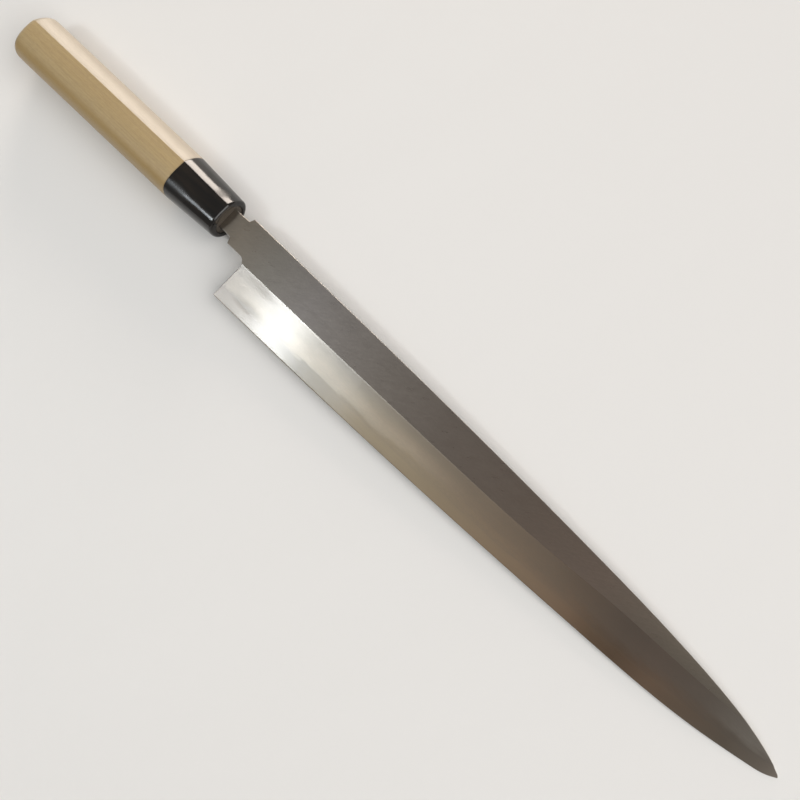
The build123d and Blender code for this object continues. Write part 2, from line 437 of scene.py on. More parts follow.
def steelMesh():
    keep = slice(int(np.argmax(steelUnder)), None)
    t, l, tIn, lIn, room, edge = (part[keep] for part in (tops, lows, topIn, lowIn, spanShare * span, onEdge))
    thickTop, thickLow = faceAt(*t.T) - backAt(t[:, 0]), steelFaceAt(*l.T) - backAt(l[:, 0])
    bare = np.clip(-overSeam(*t.T) / 0.1, 0, 1)  # 1 where no iron covers the spine
    topRound = limited(blade["noseRound"], 0.3 * thickTop, room) * bare
    backRound = limited(blade["cornerRound"], 0.3 * thickTop, room)
    side = limited(blade["sideRound"], 0.4 * thickLow, room)
    start = np.clip((l[:, 0] - blade["heel"][0]) / 1.5, 0, 1)
    width = np.where(edge, limited(side + (blade["edgeStrokes"] - side) * start, room), side)
    sideTop = np.where(edge, np.minimum(blade["bevelLand"] - blade["edgeLeft"], 0.8 * thickLow),
                       np.where(overSeam(*l.T) > 0, 0, side))
    topInner, backInner = shifted(t, tIn, topRound), shifted(t, tIn, backRound)
    lowInner = shifted(l, lIn, width)
    seamLine = partWay(topInner, lowInner, crossing(topInner, lowInner, overSeam))
    rows = cornerRows(t, tIn, topRound, topRound, steelFaceAt, 1)
    rows += betweenRows(topInner, seamLine, cuts["noseRows"], steelFaceAt)
    rows.append(rowOf(seamLine, steelFaceAt(*seamLine.T)))
    rows += betweenRows(seamLine, lowInner, cuts["band"], steelFaceAt)
    rows += cornerRows(l, lIn, width, sideTop, steelFaceAt, 1, inside=True)
    rows += cornerRows(l, lIn, width, np.where(edge, 0, side), backAt, -1)

    middleX = (backInner[:, 0] + lowInner[:, 0]) / 2
    whole = np.linalg.norm(backInner - lowInner, axis=1) + 1e-9
    share = np.where((middleX > blade["hollow"][0][0]) & (middleX < blade["hollow"][-1][0]),
                     np.clip(hollowShare(middleX), 0, 1), 0)
    free = np.maximum(whole - blade["spineLand"] - blade["edgeLandBack"], 0)
    half, centre = share * free / 2, blade["edgeLandBack"] + free / 2  # from the edge towards the spine
    toSpine = (backInner - lowInner) / whole[:, None]
    radius = blade["wheelRadius"]
    across = lambda offset: lowInner + toSpine * np.minimum(centre + offset, whole)[:, None]
    rows += betweenRows(lowInner, across(-half), cuts["land"], backAt)
    for s in (*(-s for s in cuts["hollow"][::-1]), *cuts["hollow"]):
        point = across(half * s)
        depth = np.sqrt(radius ** 2 - (half * s) ** 2) - np.sqrt(radius ** 2 - half ** 2)
        inHollow = np.clip((1 - abs(s)) * half / 0.4, 0, 1)
        rows.append(rowOf(point, backAt(point[:, 0]) + depth, 0, inHollow))
    rows += betweenRows(across(half), backInner, cuts["land"], backAt)
    rows += cornerRows(t, tIn, backRound, backRound, backAt, -1, inside=True)
    return meshFromRows("edgeSteel", rows)


# numbers for each point of a mesh, which the materials and the sweep read
def store(mesh, attributes):
    for title, values in attributes.items():
        data = mesh.attributes.new(title, "FLOAT", "POINT").data
        data.foreach_set("value", np.asarray(values, np.float32))


# distance from the weld line on the bevel, place across it (0 at the ridge, 1 at the
# weld line, less than 0 on the flat) and a flat map for the brushing
def markBlade(mesh):
    co = np.zeros(len(mesh.vertices) * 3)
    mesh.vertices.foreach_get("co", co)
    x, y, z = ((co.reshape(-1, 3) - np.array(shoulder)) / mm).T
    fromSeam = overSeam(x, y) / np.tan(np.radians(bevelAngle(x)))
    across = (flatAt(x) - bevelAt(x, y)) / np.maximum(flatAt(x) - seamAt(x), 0.1)
    store(mesh, {"fromSeam": fromSeam, "acrossBevel": np.clip(across, -3, 2)})
    flatMap = mesh.uv_layers.new(name="brushing")
    index = np.zeros(len(mesh.loops), int)
    mesh.loops.foreach_get("vertex_index", index)
    uv = np.column_stack([x, y + z])[index] / blade["length"]
    flatMap.data.foreach_set("uv", uv.astype(np.float32).ravel())
    mesh.shade_smooth()
    mesh.set_sharp_from_angle(angle=math.radians(7))


def addPiece(name, mesh, material):
    piece = bpy.data.objects.new(name, mesh)
    collection.objects.link(piece)
    mesh.materials.append(material)
    return piece


# Fills a node's inputs, by name or place, with values or links
def fill(node, values):
    for name, value in values.items():
        if isinstance(value, bpy.types.NodeSocket):
            node.id_data.links.new(value, node.inputs[name])
        else:
            node.inputs[name].default_value = value


def put(tree, kind, values=None, **settings):
    node = tree.nodes.new(kind)
    for name, value in settings.items():
        setattr(node, name, value)
    fill(node, values or {})
    return node


# The helpers from here on add their nodes to the tree of the socket that they are given
def compute(operation, first, second=0.0):
    tree = (first if isinstance(first, bpy.types.NodeSocket) else second).id_data
    return put(tree, "ShaderNodeMath", {0: first, 1: second}, operation=operation).outputs[0]


def plus(first, second):
    return compute("ADD", first, second)


def minus(first, second):
    return compute("SUBTRACT", first, second)


def times(first, second):
    return compute("MULTIPLY", first, second)


def remap(value, fromLow, fromHigh, toLow=0.0, toHigh=1.0, smooth=False, clamp=True):
    return put(value.id_data, "ShaderNodeMapRange",
               {"Value": value, "From Min": fromLow, "From Max": fromHigh, "To Min": toLow, "To Max": toHigh},
               interpolation_type="SMOOTHSTEP" if smooth else "LINEAR", clamp=clamp).outputs[0]


def clamped(value, low, high):
    return put(value.id_data, "ShaderNodeClamp", {0: value, 1: low, 2: high}).outputs[0]


def blendColour(factor, first, second, mode="MIX"):
    return put(factor.id_data, "ShaderNodeMix", {0: factor, 6: first, 7: second}, data_type="RGBA",
               blend_type=mode).outputs[2]


def blendValue(factor, first, second):
    return put(factor.id_data, "ShaderNodeMix", {0: factor, 2: first, 3: second}, data_type="FLOAT").outputs[0]


def vector(operation, first, second=(0, 0, 0), output=0):
    return put(first.id_data, "ShaderNodeVectorMath", {0: first, 1: second},
               operation=operation).outputs[output]


def split(point):
    return put(point.id_data, "ShaderNodeSeparateXYZ", {0: point}).outputs


def turned(place, angle):
    return put(place.id_data, "ShaderNodeVectorRotate", {"Vector": place, "Angle": angle},
               rotation_type="Z_AXIS").outputs[0]


def noise(place, scale, detail):
    return put(place.id_data, "ShaderNodeTexNoise",
               {"Vector": place, "Scale": scale, "Detail": detail}).outputs["Fac"]


# noise that is stretched along the knife
def longNoise(place, along, across, shift, values):
    scale = put(place.id_data, "ShaderNodeCombineXYZ", {0: along, 1: across, 2: across}).outputs[0]
    return put(place.id_data, "ShaderNodeTexNoise",
               {"Vector": vector("MULTIPLY", place, scale), "W": shift, "Scale": 1.0, **values},
               noise_dimensions="4D").outputs["Fac"]


def bump(height, depth, strength=1.0, normal=None):
    values = {"Height": height, "Strength": strength, "Distance": depth}
    if normal is not None:
        values["Normal"] = normal
    return put(height.id_data, "ShaderNodeBump", values).outputs[0]


# a colour that changes along the blade, from stops of (share of its length, colour)
def alongBlade(place, stops):
    share = remap(split(place)[0], shoulder.x, shoulder.x + blade["length"] * mm)
    node = put(place.id_data, "ShaderNodeValToRGB", {0: share})
    elements = node.color_ramp.elements
    elements[0].position, elements[0].color = stops[0][0], (*stops[0][1], 1)
    elements[1].position, elements[1].color = stops[-1][0], (*stops[-1][1], 1)
    for position, colour in stops[1:-1]:
        elements.new(position).color = (*colour, 1)
    return node.outputs[0]


# A shader group with float inputs and one float output, built once
def newGroup(name, inputs, output):
    tree = bpy.data.node_groups.new(name, "ShaderNodeTree")
    for title, value in inputs.items():
        tree.interface.new_socket(title, in_out="INPUT", socket_type="NodeSocketFloat").default_value = value
    tree.interface.new_socket(output, in_out="OUTPUT", socket_type="NodeSocketFloat")
    place = put(tree, "ShaderNodeTexCoord").outputs["Object"]
    return tree, place, put(tree, "NodeGroupInput").outputs, put(tree, "NodeGroupOutput")


# Fine lines that run along the knife, as a stone, a belt or wood fibre leaves them
def makeLinesGroup():
    tree, place, given, out = newGroup(
        "lengthLines", {"Along": 12, "Across": 1500, "Break Up": 0.5, "Shift": 0, "Turn": 0}, "Lines")
    lines = longNoise(turned(place, given["Turn"]), given["Along"], given["Across"], given["Shift"],
                      {"Detail": 3.0, "Roughness": given["Break Up"]})
    fill(out, {"Lines": remap(lines, 0.3, 0.7)})
    return tree


# Soft clouds, longer along the knife than across
def makeCloudsGroup():
    tree, place, given, out = newGroup(
        "softClouds", {"Along": 20, "Across": 60, "Warp": 0.6, "Shift": 0}, "Clouds")
    clouds = longNoise(place, given["Along"], given["Across"], given["Shift"],
                       {"Detail": 2.5, "Roughness": 0.5, "Distortion": given["Warp"]})
    fill(out, {"Clouds": remap(clouds, 0.32, 0.68, smooth=True)})
    return tree


# Rare hair-thin scratches from use, nearly lengthwise
def makeScratchesGroup():
    tree, place, given, out = newGroup("hairScratches", {"Long": 28, "Thin": 2400, "Amount": 0.5}, "Scratches")
    total = None
    for turn, shift in ((0.06, 0.0), (-0.17, 3.7), (0.42, 8.1)):
        streak = longNoise(turned(place, turn), given["Long"], given["Thin"], shift, {"Detail": 0.0})
        line = remap(streak, 0.78, 0.86)
        total = line if total is None else compute("MAXIMUM", total, line)
    fill(out, {"Scratches": times(total, given["Amount"])})
    return tree


lengthLines, softClouds, hairScratches = makeLinesGroup(), makeCloudsGroup(), makeScratchesGroup()
print("shared effects built")


# one shared effect for each of these entries of a look, which hold the group's inputs in order
def effects(tree, group, look, *titles):
    return [put(tree, "ShaderNodeGroup", dict(enumerate(look[title])), node_tree=group).outputs[0]
            for title in titles]


def marks(tree, *titles):
    return [put(tree, "ShaderNodeAttribute", attribute_name=title).outputs["Fac"] for title in titles]


def newMaterial(name):
    material = bpy.data.materials.new(name)
    material.use_nodes = True
    tree = material.node_tree
    return material, tree, tree.nodes["Principled BSDF"], put(tree, "ShaderNodeTexCoord").outputs["Object"]


# x, y and z of the way that the surface faces
def facings(tree):
    return split(put(tree, "ShaderNodeTexCoord").outputs["Normal"])


# soft oval spots, stretched along the knife: place from the shoulder, length, height, all in mm
def makeStains(place, mist, stains):
    total = None
    for (x, y), long, high in stains:
        point = vector("SUBTRACT", place, (shoulder.x + x * mm, shoulder.y + y * mm, 0))
        far = vector("LENGTH", vector("MULTIPLY", point, (1 / (long * mm), 1 / (high * mm), 0)), output="Value")
        spot = remap(plus(far, remap(mist, 0, 1, -0.2, 0.2)), 1.0, 0.15, 0, 1, smooth=True)
        total = spot if total is None else compute("MAXIMUM", total, spot)
    return total


magnoliaLook = {
    "pale": (0.482, 0.358, 0.172, 1),
    "warm": (0.408, 0.280, 0.112, 1),
    "grain": (0.310, 0.208, 0.097, 1),
    # the tenon's front: end grain burnt where the tang went in, darkened further as painted shade of its recess
    # in the horn
    "endGrain": (0.046, 0.036, 0.026, 1),
    "glue": (0.090, 0.040, 0.020, 1),
    "rubbedAndSheen": (0.440, 0.420, 0.388, 1),  # painted sheen: the facet on the spine side made paler and whiter, as light glancing off it would
    "shaded": (0.345, 0.215, 0.055, 1),  # painted shade: the side facing away from the spine, darker and more yellow
    "pith": (0, -0.16, 0.09),  # m from the trunk's middle
    "rings": 520.0,  # per m
    "ringBend": 3.2,
    "broad": (9, 150, 0.2, 3.0),
    "streak": (9, 1300, 0.55, 1.0),
    "fine": (45, 5200, 0.6, 7.0),
    "pores": (260, 6500, 0.3, 11.0),
    "fleck": (420, 2300, 0.7, 31.0),
    "roughness": (0.44, 0.60),
    "sheen": 1.0,  # sanded and waxed by hand: a dull film over the fibres
    "film": {"Coat Roughness": 0.50, "Coat IOR": 1.75},
    "fibre": 0.00009,
}


def makeMagnolia(look):
    material, tree, shader, place = newMaterial("magnoliaWood")
    # year rings of a wide trunk, so they cross the handle as almost flat layers
    rings = put(tree, "ShaderNodeMapping",
                {"Vector": place, "Location": look["pith"], "Scale": (0.03, 1, 1)}).outputs[0]
    radius = vector("LENGTH", rings, output="Value")
    layers = plus(times(radius, look["rings"]), times(noise(rings, 30.0, 2.0), look["ringBend"]))
    late = remap(compute("ABSOLUTE", minus(compute("FRACT", layers), 0.5)), 0.25, 0.5, smooth=True)
    broad, = effects(tree, softClouds, look, "broad")
    streak, fine, pores, fleck = effects(tree, lengthLines, look, "streak", "fine", "pores", "fleck")
    pores = remap(pores, 0.80, 0.97)
    endGrain, = marks(tree, "endGrain")
    facing = facings(tree)
    colour = blendColour(remap(broad, 0, 1, 0.1, 0.5), look["pale"], look["warm"])
    for mask, low, share in ((late, 0, 0.22), (streak, 0.35, 0.32), (fine, 0.35, 0.36), (fleck, 0.3, 0.30),
                             (pores, 0, 0.55)):
        colour = blendColour(remap(mask, low, 1, 0, share), colour, look["grain"])
    # painted light and shade: the facet towards the spine paler, the side away from the spine darker and more
    # yellow
    for tone, low, high, share in (("rubbedAndSheen", 0.30, 0.62, 0.5), ("shaded", -0.02, -0.55, 0.75)):
        colour = blendColour(remap(facing[1], low, high, 0, share, smooth=True), colour, look[tone])
    alongKnife = split(place)[0]
    # the tenon's end face: its own burnt end grain together with painted shade of the recess
    face = shoulder.x + (handle["front"] - handle["tenonRecess"]) * mm
    burntAndShadedEnd = remap(alongKnife, face - 0.6 * mm, face - 0.25 * mm)
    colour = blendColour(burntAndShadedEnd, colour, look["endGrain"])
    joint = shoulder.x + handle["joint"] * mm
    nearJoint = remap(alongKnife, joint - 0.45 * mm, joint - 0.05 * mm, 0, 0.75, smooth=True)
    colour = blendColour(times(nearJoint, remap(endGrain, 0.3, 0.1)), colour, look["glue"])
    height = minus(minus(times(fine, 0.5), pores), times(fleck, 0.7))
    film = remap(burntAndShadedEnd, 0, 1, look["sheen"], 0.2 * look["sheen"])
    film = times(times(film, remap(fine, 0.1, 0.9, 1, 0.80)), remap(fleck, 0.1, 0.9, 1, 0.72))
    fill(shader, {"Base Color": colour, "Roughness": remap(fine, 0, 1, *look["roughness"]), "IOR": 1.45,
                  "Normal": bump(height, look["fibre"], 0.55), "Coat Weight": film, **look["film"]})
    return material


hornLook = {
    "black": (0.0045, 0.0042, 0.0040, 1),
    "brown": (0.018, 0.013, 0.009, 1),
    "streak": (30, 420, 0.6, 2.0),
    "fine": (60, 4200, 0.6, 8.0),
    "cloud": (40, 130, 0.8, 5.0),
    "scratches": (60, 2600, 0.5),
    "roughness": (0.08, 0.17),
    "waviness": 0.00024,
    "polish": 0.000004,
    # dull rubs on the facet and on the fingers' side: place, length, height in mm
    "rubs": [((-16.6, 6.2), 4.2, 4.5), ((-33.0, -7.0), 15.0, 6.0)],
}


def makeHorn(look):
    material, tree, shader, place = newMaterial("blackHorn")
    streak, fine = effects(tree, lengthLines, look, "streak", "fine")
    cloud, = effects(tree, softClouds, look, "cloud")
    scratches, = effects(tree, hairScratches, look, "scratches")
    colour = blendColour(times(streak, cloud), look["black"], look["brown"])
    rough = plus(remap(fine, 0.1, 1, *look["roughness"]), times(makeStains(place, cloud, look["rubs"]), 0.20))
    rough = plus(rough, times(scratches, 0.2))
    normal = bump(noise(place, 120.0, 1.5), look["waviness"], 0.5)
    normal = bump(minus(fine, times(scratches, 3)), look["polish"], 0.6, normal)
    fill(shader, {"Base Color": colour, "Roughness": rough, "Normal": normal, "IOR": 1.5})
    return material


# what both metals share
metal = {
    "oilFilm": {"Coat Roughness": 0.13, "Coat IOR": 1.48},
    "mist": (60, 260, 0.8, 6.0),
    "stainDepth": 0.5,
    "scratchRough": 0.05,
}


# a metal that is brushed along the knife, with a film of oil
def fillMetal(shader, colour, rough, normal, brushing, oil):
    tangent = put(shader.id_data, "ShaderNodeTangent", direction_type="UV_MAP", uv_map="brushing").outputs[0]
    fill(shader, {"Base Color": colour, "Metallic": 1.0, "Roughness": rough, "Normal": normal,
                  "Anisotropic": brushing, "Anisotropic Rotation": 0.25, "Tangent": tangent,
                  "Coat Weight": oil, **metal["oilFilm"]})


ironLook = {
    # the flat's tone along the blade: partly its own uneven tone, partly painted light, paler where the
    # highlight falls near the heel
    "flat": [(0, (0.418, 0.362, 0.296)), (0.07, (0.426, 0.398, 0.358)), (0.15, (0.478, 0.444, 0.428)),
             (0.30, (0.372, 0.330, 0.298)), (0.43, (0.306, 0.255, 0.222)), (0.57, (0.325, 0.255, 0.212)),
             (0.69, (0.390, 0.299, 0.247)), (0.81, (0.413, 0.348, 0.281)), (1, (0.432, 0.386, 0.324))],
    # the bevel's tone along the blade: partly its own uneven tone, partly painted light and shade, paler past
    # the heel, darker in a dip towards the tip and paler at the tip itself
    "bevel": [(0, (0.274, 0.234, 0.196)), (0.14, (0.262, 0.222, 0.170)), (0.30, (0.290, 0.243, 0.183)),
              (0.40, (0.352, 0.282, 0.204)), (0.50, (0.286, 0.214, 0.148)), (0.60, (0.268, 0.192, 0.131)),
              (0.70, (0.255, 0.185, 0.134)), (0.76, (0.212, 0.158, 0.122)), (0.81, (0.245, 0.183, 0.143)),
              (0.88, (0.250, 0.203, 0.165)), (0.95, (0.355, 0.318, 0.275)), (1, (0.385, 0.345, 0.300))],
    # painted shade: the bevel is darker just under its ridge, where a slightly rounded bevel would turn from
    # the light
    "paintedRidgeShade": [(0, (0.86, 0.885, 0.93)), (0.16, (0.86, 0.885, 0.93)), (0.25, (0.53, 0.54, 0.56)),
                  (0.40, (0.57, 0.58, 0.60)), (0.52, (0.86, 0.88, 0.91)), (0.75, (0.90, 0.92, 0.95)),
                  (0.85, (0.98, 0.985, 0.99)), (1, (1.0, 1.0, 1.0))],
    # towards the tip the flat passes softly into the bevel through painted shade at its ridge, and has painted
    # light at the spine: from, to, shares
    "paintedTipShading": (205, 240, 0.84, 1.18),
    "smoke": (0.180, 0.160, 0.140, 1),
    # the polished corner along the spine, its own polish with a painted highlight making it paler towards the
    # tip
    "polish": [(0, (0.46, 0.44, 0.41)), (0.3, (0.36, 0.34, 0.32)), (0.7, (0.36, 0.34, 0.32)),
               (1, (0.62, 0.60, 0.57))],
    # a painted highlight along the ridge
    "ridgeLine": (0.430, 0.400, 0.350, 1),
    "ridgeFade": (90, 190),  # mm from the shoulder over which the painted highlight on the ridge fades out
    "flatRough": (0.27, 0.37),
    "bevelRough": (0.350, 0.380),
    "rimRough": 0.20,
    "oil": 0.75,  # a thin film of oil on the ground bevel
    "weldFade": (1.7, 4.6),  # mm over which the haze passes into the steel's tone, rear and front
    "weldFadeFrom": (75, 135),
    "lines": (14, 1900, 0.65, 0.0),
    "hair": (60, 7800, 0.6, 4.0),
    "strokes": (190, 1250, 0.5, 21.0, -0.50),  # the flat was finished with short slanting strokes
    "cloud": (9, 70, 0.4, 1.0),
    "grit": (600, 1400, 0.5, 12.0),
    "scratches": (22, 2200, 0.06),
    "lineDepth": 0.000006,
    "swell": 0.00002,
    # in the haze near the heel: place from the shoulder, length, height in mm
    "stains": [((26.0, -11.6), 13.0, 3.0), ((24.0, -21.2), 13.0, 3.2)],
}


def makeIron(look, steel):
    material, tree, shader, place = newMaterial("softIron")
    fromSeam, across, rim = marks(tree, "fromSeam", "acrossBevel", "rim")
    lines, hair, strokes = effects(tree, lengthLines, look, "lines", "hair", "strokes")
    cloud, grit = effects(tree, softClouds, look, "cloud", "grit")
    mist, = effects(tree, softClouds, metal, "mist")
    scratches, = effects(tree, hairScratches, look, "scratches")
    facing = facings(tree)
    onBevel = times(remap(facing[1], -0.07, -0.13), remap(facing[2], 0.8, 0.9))
    alongKnife = split(place)[0]
    between = lambda limits, *shares: remap(alongKnife, *(shoulder.x + limit * mm for limit in limits), *shares)

    # the haze of the bevel passes softly into the steel above the weld, and has stains near the heel
    ragged = plus(fromSeam, remap(mist, 0, 1, -0.9, 0.9))
    nearWeld = remap(ragged, between(look["weldFadeFrom"], *look["weldFade"]), 0.3, 0, 0.95, smooth=True)
    smoke = times(remap(ragged, 2.6, 0.0, 0, 1, smooth=True), remap(cloud, 0, 1, 0.25, 1))
    stains = times(onBevel, makeStains(place, mist, look["stains"]))
    # painted shade on the bevel just under its ridge
    ground = blendColour(remap(across, 0.7, 0.0, 0, 1, smooth=True), alongBlade(place, look["bevel"]),
                         alongBlade(place, look["paintedRidgeShade"]), "MULTIPLY")
    # painted highlight along the ridge, fading out along the blade
    paintedRidgeHighlight = times(remap(across, 0.05, 0.015), between(look["ridgeFade"], 0.3, 0))
    ground = blendColour(paintedRidgeHighlight, ground, look["ridgeLine"])
    ground = blendColour(nearWeld, ground, alongBlade(place, steel["band"]))
    # painted shade and light across the flat near the tip
    start, end, dim, bright = look["paintedTipShading"]
    flat = blendColour(between((start, end)), alongBlade(place, look["flat"]),
                       remap(across, 0, -0.8, dim, bright), "MULTIPLY")
    colour = blendColour(onBevel, flat, ground)
    strokeMask = times(minus(1.0, onBevel), remap(strokes, 0, 1, 0, 0.32))
    fineMasks = [remap(mask, 0, 1, 0, share) for mask, share in ((lines, 0.14), (grit, 0.12), (cloud, 0.12))]
    bevelMasks = [times(times(onBevel, smoke), 0.08), times(stains, metal["stainDepth"])]
    for mask in (strokeMask, *fineMasks, *bevelMasks):
        colour = blendColour(mask, colour, look["smoke"])
    # the polished corners, with a painted highlight towards the tip
    colour = blendColour(remap(rim, 0.1, 0.8), colour, alongBlade(place, look["polish"]))

    bevelRough = blendValue(nearWeld, remap(mist, 0, 1, *look["bevelRough"]), sum(steel["bandRough"]) / 2)
    rough = blendValue(onBevel, remap(strokes, 0, 1, *look["flatRough"]), bevelRough)
    rough = plus(plus(rough, times(scratches, metal["scratchRough"])), times(rim, look["rimRough"]))
    normal = bump(noise(place, 28.0, 1.0), look["swell"], 0.5)
    normal = bump(minus(plus(lines, times(hair, 0.6)), scratches), look["lineDepth"], 0.6, normal)
    oil = blendValue(nearWeld, remap(stains, 0, 1, look["oil"], 0.5 * look["oil"]), steel["oil"])
    fillMetal(shader, colour, rough, normal, 0.45, times(onBevel, oil))
    return material


steelLook = {
    # the steel's tone along the blade: partly its own uneven tone, partly painted light and shade, with darker
    # dips just past the heel and before the tip
    "band": [(0, (0.340, 0.288, 0.248)), (0.12, (0.308, 0.258, 0.202)), (0.20, (0.190, 0.157, 0.108)),
             (0.29, (0.298, 0.239, 0.160)), (0.43, (0.337, 0.261, 0.169)), (0.56, (0.334, 0.236, 0.149)),
             (0.69, (0.285, 0.186, 0.118)), (0.73, (0.200, 0.130, 0.080)), (0.765, (0.172, 0.108, 0.066)),
             (0.79, (0.200, 0.126, 0.080)), (0.82, (0.245, 0.160, 0.104)), (0.93, (0.175, 0.140, 0.108)),
             (1, (0.260, 0.225, 0.190))],
    "land": (0.600, 0.590, 0.565, 1),
    "hollow": (0.450, 0.435, 0.410, 1),
    "dark": (0.215, 0.185, 0.150, 1),
    "bareNoseAndGlint": (0.850, 0.830, 0.800, 1),  # the bare steel that rounds the point, made very pale as a painted glint
    "bandRough": (0.437, 0.463),
    "landRough": 0.18,
    "hollowRough": (0.26, 0.38),
    "rimRough": 0.04,
    "oil": 0.9,
    "stains": [((24.0, -21.2), 13.0, 3.2)],  # as on the iron
    "lines": (10, 2300, 0.6, 13.0),
    "hair": (50, 8200, 0.6, 17.0),
    "cloud": (9, 90, 0.4, 9.0),
    "wheel": (900, 16, 0.1, 19.0),
    "scratches": (26, 2200, 0.8),
    "lineDepth": 0.000005,
}


def makeSteel(look):
    material, tree, shader, place = newMaterial("hardSteel")
    hollow, rim, fromSeam = marks(tree, "hollow", "rim", "fromSeam")
    lines, hair = effects(tree, lengthLines, look, "lines", "hair")
    cloud, wheel = effects(tree, softClouds, look, "cloud", "wheel")
    mist, = effects(tree, softClouds, metal, "mist")
    scratches, = effects(tree, hairScratches, look, "scratches")
    facing = facings(tree)
    onBack = remap(facing[2], 0.0, -0.5)
    stains = makeStains(place, mist, look["stains"])
    edgeOfWeld = remap(plus(fromSeam, remap(mist, 0, 1, -0.6, 0.6)), -1.4, 0.0, 0, 1, smooth=True)
    front = alongBlade(place, look["band"])
    for mask in (times(edgeOfWeld, 0.1), times(stains, metal["stainDepth"])):
        front = blendColour(mask, front, look["dark"])
    colour = blendColour(onBack, front, blendColour(hollow, look["land"], look["hollow"]))
    grinding = blendValue(times(onBack, hollow), lines, wheel)
    for mask, share in ((grinding, 0.15), (cloud, 0.14)):
        colour = blendColour(remap(mask, 0, 1, 0, share), colour, look["dark"])
    # painted glint on the bare steel at the point
    onNose = times(remap(rim, 0.1, 0.8), remap(facing[0], 0.1, 0.4))
    colour = blendColour(onNose, colour, look["bareNoseAndGlint"])

    backRough = blendValue(hollow, look["landRough"], remap(wheel, 0, 1, *look["hollowRough"]))
    rough = blendValue(onBack, remap(mist, 0, 1, *look["bandRough"]), backRough)
    rough = plus(plus(rough, times(scratches, metal["scratchRough"])), times(rim, look["rimRough"]))
    normal = bump(minus(plus(grinding, times(hair, 0.5)), scratches), look["lineDepth"], 0.6)
    oil = times(minus(1.0, onBack), remap(stains, 0, 1, look["oil"], 0.5 * look["oil"]))
    fillMetal(shader, colour, rough, normal, 0.4, oil)
    return material


magnoliaWood, blackHorn = makeMagnolia(magnoliaLook), makeHorn(hornLook)
softIron, hardSteel = makeIron(ironLook, steelLook), makeSteel(steelLook)
print("materials built")

claddingPiece = addPiece("bladeCladding", claddingMesh(), softIron)
steelPiece = addPiece("edgeSteel", steelMesh(), hardSteel)
for piece in (claddingPiece, steelPiece):
    markBlade(piece.data)
print("blade built")


# The D section as a closed loop of shares, as cut and as rubbed round by the palm
def sectionLoop(section):
    size = np.array(handle["jointSize"])
    ridge, facetEnd = (np.array(section[title]) * size for title in ("ridge", "facetEnd"))
    through = np.array([facetEnd, *(np.array(section["back"]) * size), ridge])
    way = alongPath(through)
    curveY, curveZ = (smoothLine(np.column_stack([way, through[:, k]])) for k in (0, 1))
    fine = np.concatenate([np.linspace(a, b, section["perSpan"] + 1)[1:] for a, b in zip(way, way[1:])])
    back = np.column_stack([curveY(fine), curveZ(fine)])[:-1]
    run = facetEnd - ridge
    out = np.array([-run[1], run[0]]) / np.linalg.norm(run)
    out *= np.sign(out @ (ridge + facetEnd))
    t = np.linspace(0, 1, section["facetSteps"] + 1)[:, None]
    facet = ridge + run * t + out * section["facetSwell"] * 4 * t * (1 - t)
    loop = np.vstack([facet, back])
    radii = [0.0] * len(loop)
    radii[0], radii[section["facetSteps"]] = section["ridgeRound"], section["facetRound"]
    cut = roundedPath(np.vstack([loop[-1:], loop, loop[:1]]), radii, 5)[1:-1]
    closed = np.vstack([cut, cut[:1]])
    way = alongPath(closed)
    even = np.linspace(0, way[-1], section["wornSamples"], endpoint=False)
    evenly = np.column_stack([np.interp(even, way, closed[:, k]) for k in (0, 1)])
    apart = np.abs(way[:-1, None] - even)
    weight = np.exp(-0.5 * (np.minimum(apart, way[-1] - apart) / section["wornReach"]) ** 2)
    worn = weight @ evenly / weight.sum(axis=1)[:, None]
    return cut / size, worn / size


def pointsObject(name, points, attributes, closed=False):
    mesh = bpy.data.meshes.new(name)
    edges = [(k, k + 1) for k in range(len(points) - 1)] + ([(len(points) - 1, 0)] if closed else [])
    mesh.from_pydata(points, edges, [])
    store(mesh, attributes)
    helper = bpy.data.objects.new(name, mesh)
    collection.objects.link(helper)
    return helper


